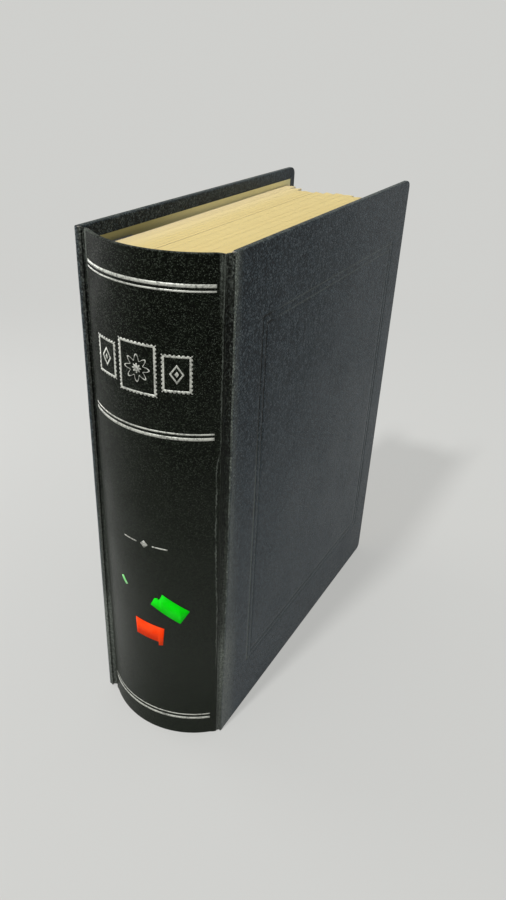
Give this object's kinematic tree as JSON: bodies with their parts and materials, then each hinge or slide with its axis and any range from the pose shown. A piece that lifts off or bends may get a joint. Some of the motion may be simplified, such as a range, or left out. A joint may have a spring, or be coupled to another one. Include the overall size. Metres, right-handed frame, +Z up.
{
  "type": "stamp album",
  "caption": "Upright loose-leaf stamp album with a rounded spine, hinged leatherette covers and cream leaves clamped on screw posts.",
  "frame": {"origin": "centre of the tail end, on the surface the album stands on", "axes": "+Z up along the spine, +X out of the front cover, +Y from the spine to the fore edge"},
  "size_m": [0.084, 0.2416, 0.3],
  "materials": {
    "leatherette": "pebbled charcoal-black coated cloth, worn lighter along joints and edges",
    "grey_board": "binder's board",
    "lining_paper": "matte grey-olive",
    "hinge_cloth": "black book cloth",
    "post_metal": "turned, satin",
    "flyleaf_paper": "aged cream",
    "leaf_paper": "aged cream album stock",
    "silver_foil": "stamped foil",
    "green_sticker": "fluorescent",
    "orange_sticker": "fluorescent"
  },
  "bodies": {
    "binding": {"spine_cloth": "leatherette", "spine_liner": "grey_board", "spine_lining": "hinge_cloth", "front_joint_cloth": "leatherette", "back_joint_cloth": "leatherette", "front_inner_hinge": "hinge_cloth", "back_inner_hinge": "hinge_cloth", "front_flap": "grey_board", "back_flap": "grey_board", "lower_post_barrel": "post_metal", "lower_post_screw": "post_metal", "upper_post_barrel": "post_metal", "upper_post_screw": "post_metal", "front_flyleaf_margin": "flyleaf_paper", "back_flyleaf_margin": "flyleaf_paper", "leaf_margin_01": "leaf_paper", "leaf_margin_02": "leaf_paper", "leaf_margin_03": "leaf_paper", "leaf_margin_04": "leaf_paper", "leaf_margin_05": "leaf_paper", "leaf_margin_06": "leaf_paper", "leaf_margin_07": "leaf_paper", "leaf_margin_08": "leaf_paper", "leaf_margin_09": "leaf_paper", "leaf_margin_10": "leaf_paper", "leaf_margin_11": "leaf_paper", "leaf_margin_12": "leaf_paper"},
    "front_cover": {"front_cover_cloth": "leatherette", "front_board": "grey_board", "front_lining_paper": "lining_paper"},
    "front_flyleaf": {"front_flyleaf": "flyleaf_paper"},
    "back_cover": {"back_cover_cloth": "leatherette", "back_board": "grey_board", "back_lining_paper": "lining_paper"},
    "back_flyleaf": {"back_flyleaf": "flyleaf_paper"},
    "section_01": {"leaves_01": "leaf_paper"},
    "section_02": {"leaves_02": "leaf_paper"},
    "section_03": {"leaves_03": "leaf_paper"},
    "section_04": {"leaves_04": "leaf_paper"},
    "section_05": {"leaves_05": "leaf_paper"},
    "section_06": {"leaves_06": "leaf_paper"},
    "section_07": {"leaves_07": "leaf_paper"},
    "section_08": {"leaves_08": "leaf_paper"},
    "section_09": {"leaves_09": "leaf_paper"},
    "section_10": {"leaves_10": "leaf_paper"},
    "section_11": {"leaves_11": "leaf_paper"},
    "section_12": {"leaves_12": "leaf_paper"}
  },
  "joints": [
    {"name": "front_cover_hinge", "type": "hinge", "parent": "binding", "child": "front_cover", "pos_m": [0.04125, -0.10215, 0.15], "axis": [0, 0, -1], "range_deg": [0, 180], "deforming": ["front_joint_cloth", "front_inner_hinge"]},
    {"name": "back_cover_hinge", "type": "hinge", "parent": "binding", "child": "back_cover", "pos_m": [-0.04125, -0.11015, 0.15], "axis": [0, 0, 1], "range_deg": [0, 180], "deforming": ["back_joint_cloth", "back_inner_hinge"]},
    {"name": "front_flyleaf_turn", "type": "hinge", "parent": "binding", "child": "front_flyleaf", "pos_m": [0.03506, -0.06885, 0.15], "axis": [0, 0, -1], "range_deg": [0, 92.5], "deforming": ["front_flyleaf_margin"]},
    {"name": "back_flyleaf_turn", "type": "hinge", "parent": "binding", "child": "back_flyleaf", "pos_m": [-0.03506, -0.06885, 0.15], "axis": [0, 0, 1], "range_deg": [0, 92.5], "deforming": ["back_flyleaf_margin"]},
    {"name": "section_01_turn", "type": "hinge", "parent": "binding", "child": "section_01", "pos_m": [0.03454, -0.06885, 0.15], "axis": [0, 0, -1], "range_deg": [0, 78.5], "deforming": ["leaf_margin_01"]},
    {"name": "section_02_turn", "type": "hinge", "parent": "binding", "child": "section_02", "pos_m": [0.02877, -0.06885, 0.15], "axis": [0, 0, -1], "range_deg": [0, 65.5], "deforming": ["leaf_margin_02"]},
    {"name": "section_03_turn", "type": "hinge", "parent": "binding", "child": "section_03", "pos_m": [0.02301, -0.06885, 0.15], "axis": [0, 0, -1], "range_deg": [0, 52.5], "deforming": ["leaf_margin_03"]},
    {"name": "section_04_turn", "type": "hinge", "parent": "binding", "child": "section_04", "pos_m": [0.01724, -0.06885, 0.15], "axis": [0, 0, -1], "range_deg": [0, 39.5], "deforming": ["leaf_margin_04"]},
    {"name": "section_05_turn", "type": "hinge", "parent": "binding", "child": "section_05", "pos_m": [0.01147, -0.06885, 0.15], "axis": [0, 0, -1], "range_deg": [0, 26.5], "deforming": ["leaf_margin_05"]},
    {"name": "section_06_turn", "type": "hinge", "parent": "binding", "child": "section_06", "pos_m": [0.00571, -0.06885, 0.15], "axis": [0, 0, -1], "range_deg": [0, 13.5], "deforming": ["leaf_margin_06"]},
    {"name": "section_07_turn", "type": "hinge", "parent": "binding", "child": "section_07", "pos_m": [-0.00571, -0.06885, 0.15], "axis": [0, 0, 1], "range_deg": [0, 13.5], "deforming": ["leaf_margin_07"]},
    {"name": "section_08_turn", "type": "hinge", "parent": "binding", "child": "section_08", "pos_m": [-0.01147, -0.06885, 0.15], "axis": [0, 0, 1], "range_deg": [0, 26.5], "deforming": ["leaf_margin_08"]},
    {"name": "section_09_turn", "type": "hinge", "parent": "binding", "child": "section_09", "pos_m": [-0.01724, -0.06885, 0.15], "axis": [0, 0, 1], "range_deg": [0, 39.5], "deforming": ["leaf_margin_09"]},
    {"name": "section_10_turn", "type": "hinge", "parent": "binding", "child": "section_10", "pos_m": [-0.02301, -0.06885, 0.15], "axis": [0, 0, 1], "range_deg": [0, 52.5], "deforming": ["leaf_margin_10"]},
    {"name": "section_11_turn", "type": "hinge", "parent": "binding", "child": "section_11", "pos_m": [-0.02877, -0.06885, 0.15], "axis": [0, 0, 1], "range_deg": [0, 65.5], "deforming": ["leaf_margin_11"]},
    {"name": "section_12_turn", "type": "hinge", "parent": "binding", "child": "section_12", "pos_m": [-0.03454, -0.06885, 0.15], "axis": [0, 0, 1], "range_deg": [0, 78.5], "deforming": ["leaf_margin_12"]}
  ],
  "couplings": [
    {"joint": "front_flyleaf_turn", "follows": "front_cover_hinge", "ratio": 0.51111},
    {"joint": "back_flyleaf_turn", "follows": "back_cover_hinge", "ratio": 0.51111},
    {"joint": "section_01_turn", "follows": "front_cover_hinge", "ratio": 0.43333},
    {"joint": "section_02_turn", "follows": "front_cover_hinge", "ratio": 0.36111},
    {"joint": "section_03_turn", "follows": "front_cover_hinge", "ratio": 0.28889},
    {"joint": "section_04_turn", "follows": "front_cover_hinge", "ratio": 0.21667},
    {"joint": "section_05_turn", "follows": "front_cover_hinge", "ratio": 0.14444},
    {"joint": "section_06_turn", "follows": "front_cover_hinge", "ratio": 0.072222},
    {"joint": "section_07_turn", "follows": "back_cover_hinge", "ratio": 0.072222},
    {"joint": "section_08_turn", "follows": "back_cover_hinge", "ratio": 0.14444},
    {"joint": "section_09_turn", "follows": "back_cover_hinge", "ratio": 0.21667},
    {"joint": "section_10_turn", "follows": "back_cover_hinge", "ratio": 0.28889},
    {"joint": "section_11_turn", "follows": "back_cover_hinge", "ratio": 0.36111},
    {"joint": "section_12_turn", "follows": "back_cover_hinge", "ratio": 0.43333}
  ]
}
